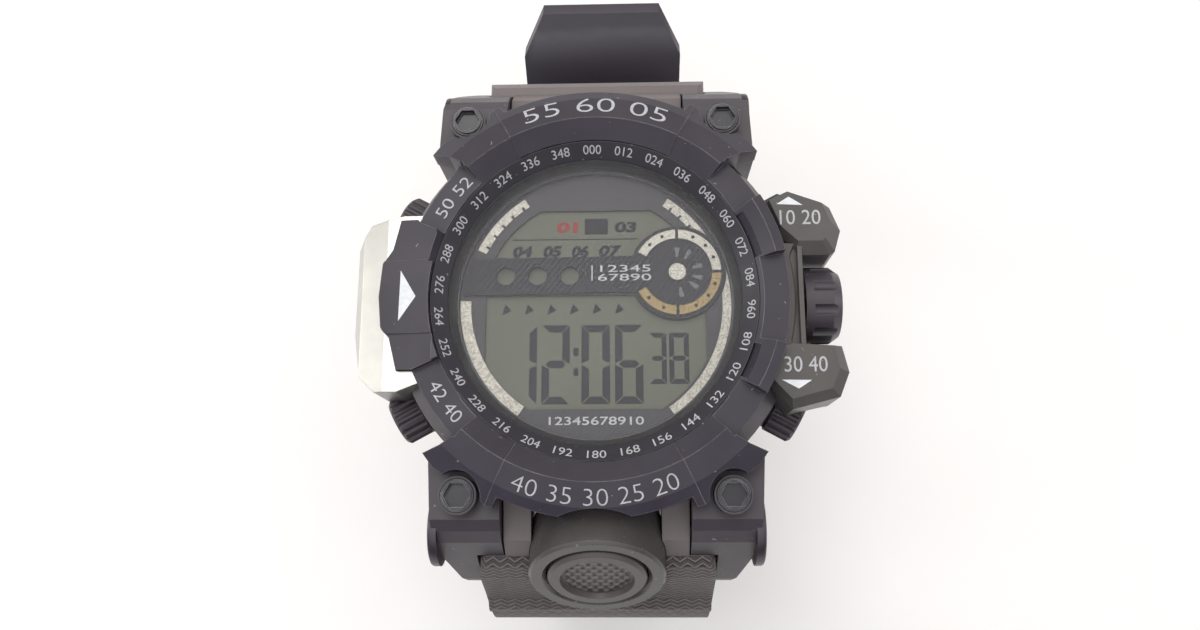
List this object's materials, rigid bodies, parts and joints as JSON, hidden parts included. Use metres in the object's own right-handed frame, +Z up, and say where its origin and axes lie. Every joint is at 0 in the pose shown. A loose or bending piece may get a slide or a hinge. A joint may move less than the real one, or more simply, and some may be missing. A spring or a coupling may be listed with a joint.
{
  "type": "digital sports watch",
  "caption": "Round digital sports watch with a recessed dial, knurled pushers, side guards, a round front button and a buckled resin strap, standing on the closed strap.",
  "frame": {"origin": "on the flat underside of the closed strap, straight below the middle of the dial", "axes": "+Z up out of the dial, +Y towards 12 o'clock, +X towards 3 o'clock"},
  "size_m": [0.0532, 0.0855, 0.067],
  "materials": {
    "resin_case": "satin dark violet-grey moulded resin",
    "resin_strap": "soft dark grey resin with a fine weave texture",
    "silver_guard": "satin silver",
    "silver_print": "speckled warm silver dial trim",
    "crystal": "clear flat mineral glass",
    "lcd": "olive grey reflective liquid crystal panel",
    "dial_resin": "dark printed dial",
    "steel": "brushed stainless steel",
    "rubber": "black seal rubber",
    "module_plastic": "white module plastic",
    "guide_plastic": "translucent cream light guide",
    "board": "green circuit board",
    "zebra": "striped conductive rubber",
    "black_epoxy": "black epoxy",
    "brass": "thin spring brass"
  },
  "bodies": {
    "watch": {"case_body": "resin_case", "case_back": "steel", "back_gasket": "rubber", "back_screws": "steel", "bezel": "resin_case", "bezel_screws": "resin_case", "number_ring": "resin_case", "crystal": "crystal", "crystal_gasket": "rubber", "dial_mask": "dial_resin", "dial_bridge": "dial_resin", "dial_arcs": "silver_print", "small_dial_ring": "silver_print", "lcd_panel": "lcd", "light_guide": "guide_plastic", "lcd_connectors": "zebra", "circuit_board": "board", "timing_chip": "black_epoxy", "quartz_can": "steel", "backlight_led": "guide_plastic", "switch_tabs": "brass", "module_frame": "module_plastic", "coin_cell": "steel", "cell_clip": "steel", "buzzer_disc": "brass", "buzzer_spring": "steel", "left_guard": "silver_guard", "right_guard": "resin_case", "front_housing": "resin_case", "front_spring": "steel", "side_spring": "steel", "start_spring": "steel", "reset_spring": "steel", "light_spring": "steel", "mode_spring": "steel", "stem_seals": "rubber", "strap_pins": "steel", "short_strap": "resin_strap", "long_strap": "resin_strap"},
    "front_push": {"front_button": "resin_case"},
    "side_push": {"side_button": "resin_case", "side_clip": "steel"},
    "start_push": {"start_button": "resin_case", "start_clip": "steel"},
    "reset_push": {"reset_button": "resin_case", "reset_clip": "steel"},
    "light_push": {"light_button": "resin_case", "light_clip": "steel"},
    "mode_push": {"mode_button": "resin_case", "mode_clip": "steel"},
    "keeper": {"strap_keeper": "resin_strap"},
    "buckle": {"buckle_frame": "steel", "buckle_bar": "steel"},
    "prong": {"buckle_prong": "steel"}
  },
  "joints": [
    {"name": "start_press", "type": "slide", "parent": "watch", "child": "start_push", "axis": [-0.8788, -0.4772, 0], "range_m": [0, 0.001], "stiffness_N_per_m": 600, "deforming": ["start_spring"]},
    {"name": "reset_press", "type": "slide", "parent": "watch", "child": "reset_push", "axis": [-0.8788, 0.4772, 0], "range_m": [0, 0.001], "stiffness_N_per_m": 600, "deforming": ["reset_spring"]},
    {"name": "light_press", "type": "slide", "parent": "watch", "child": "light_push", "axis": [0.8788, -0.4772, 0], "range_m": [0, 0.001], "stiffness_N_per_m": 600, "deforming": ["light_spring"]},
    {"name": "mode_press", "type": "slide", "parent": "watch", "child": "mode_push", "axis": [0.8788, 0.4772, 0], "range_m": [0, 0.001], "stiffness_N_per_m": 600, "deforming": ["mode_spring"]},
    {"name": "side_press", "type": "slide", "parent": "watch", "child": "side_push", "axis": [-1, 0, 0], "range_m": [0, 0.0008], "stiffness_N_per_m": 800, "deforming": ["side_spring"]},
    {"name": "front_press", "type": "slide", "parent": "watch", "child": "front_push", "axis": [0, 0.866, -0.5], "range_m": [0, 0.0008], "stiffness_N_per_m": 800, "deforming": ["front_spring"]},
    {"name": "keeper_slide", "type": "slide", "parent": "watch", "child": "keeper", "axis": [0, 0.6428, 0.766], "range_m": [-0.002, 0.002]},
    {"name": "buckle_tilt", "type": "hinge", "parent": "watch", "child": "buckle", "pos_m": [0, -0.00674, 0.00477], "axis": [1, 0, 0], "range_deg": [0, 4]},
    {"name": "prong_lift", "type": "hinge", "parent": "buckle", "child": "prong", "pos_m": [0, -0.00674, 0.00477], "axis": [1, 0, 0], "range_deg": [0, 10]}
  ]
}
